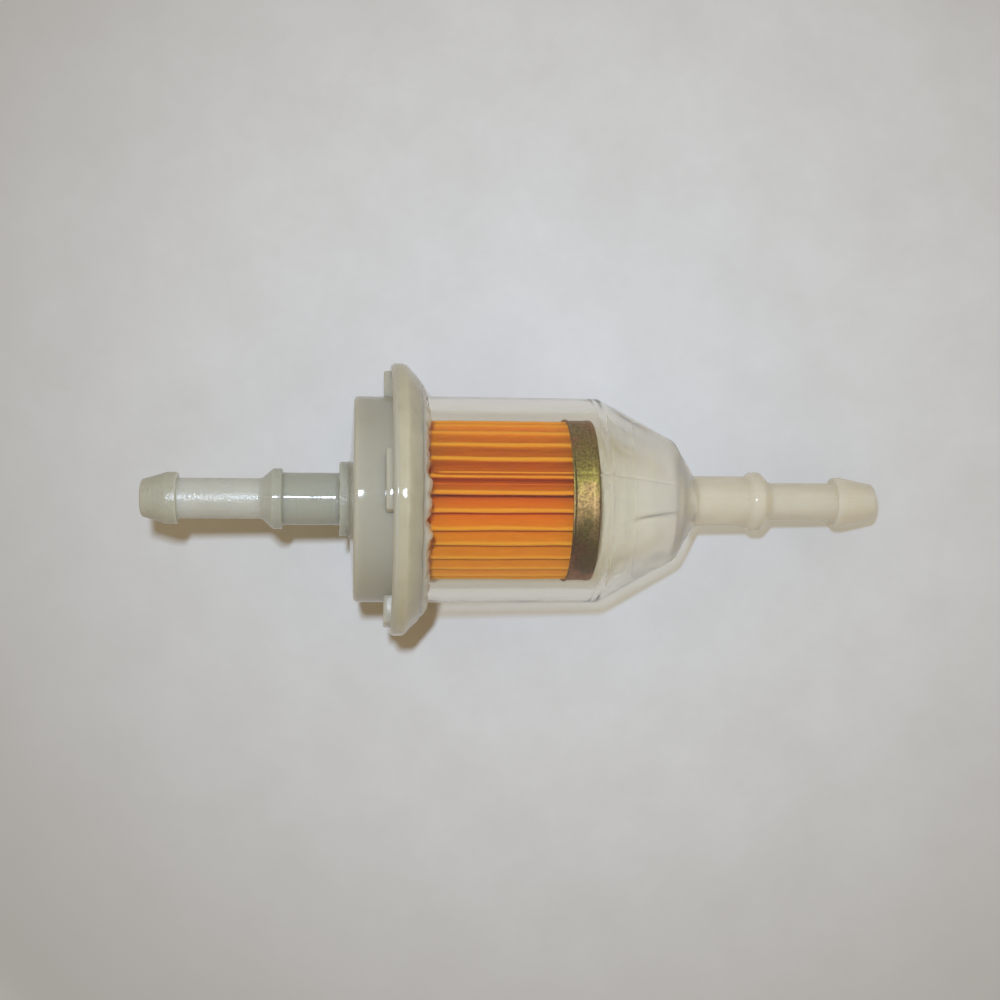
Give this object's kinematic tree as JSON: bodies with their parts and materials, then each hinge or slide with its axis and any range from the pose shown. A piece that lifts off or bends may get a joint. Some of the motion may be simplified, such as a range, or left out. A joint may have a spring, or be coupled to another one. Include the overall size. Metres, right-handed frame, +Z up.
{
  "type": "inline fuel filter",
  "caption": "Small-engine inline fuel filter: clear bowl with pleated paper element, milky outlet cap and stepped barbed nozzles for two hose sizes.",
  "frame": {"origin": "on the filter's axis, half way between the two nozzle tips", "axes": "+X along the axis from the outlet nozzle's tip to the inlet nozzle's tip, +Z up, +Y across"},
  "size_m": [0.1112, 0.0408, 0.0408],
  "materials": {
    "cap_plastic": "milky translucent moulded nylon",
    "clear_plastic": "clear moulded nylon, hazy where thick",
    "weld_flash": "ragged re-melted nylon",
    "filter_paper": "resin-treated pleated paper",
    "yellow_zinc": "yellow zinc plate, faint iridescence",
    "bright_steel": "tinplate",
    "potting": "cured plastisol",
    "seal_rubber": "moulded rubber"
  },
  "bodies": {
    "root": {"outlet_cap": "cap_plastic", "bowl": "clear_plastic", "weld_bead": "weld_flash", "pleated_media": "filter_paper", "media_seam_clip": "bright_steel", "centre_tube": "bright_steel", "closed_end_cap": "yellow_zinc", "open_end_cap": "yellow_zinc", "closed_end_adhesive": "potting", "open_end_adhesive": "potting", "outlet_seal": "seal_rubber"}
  },
  "joints": []
}
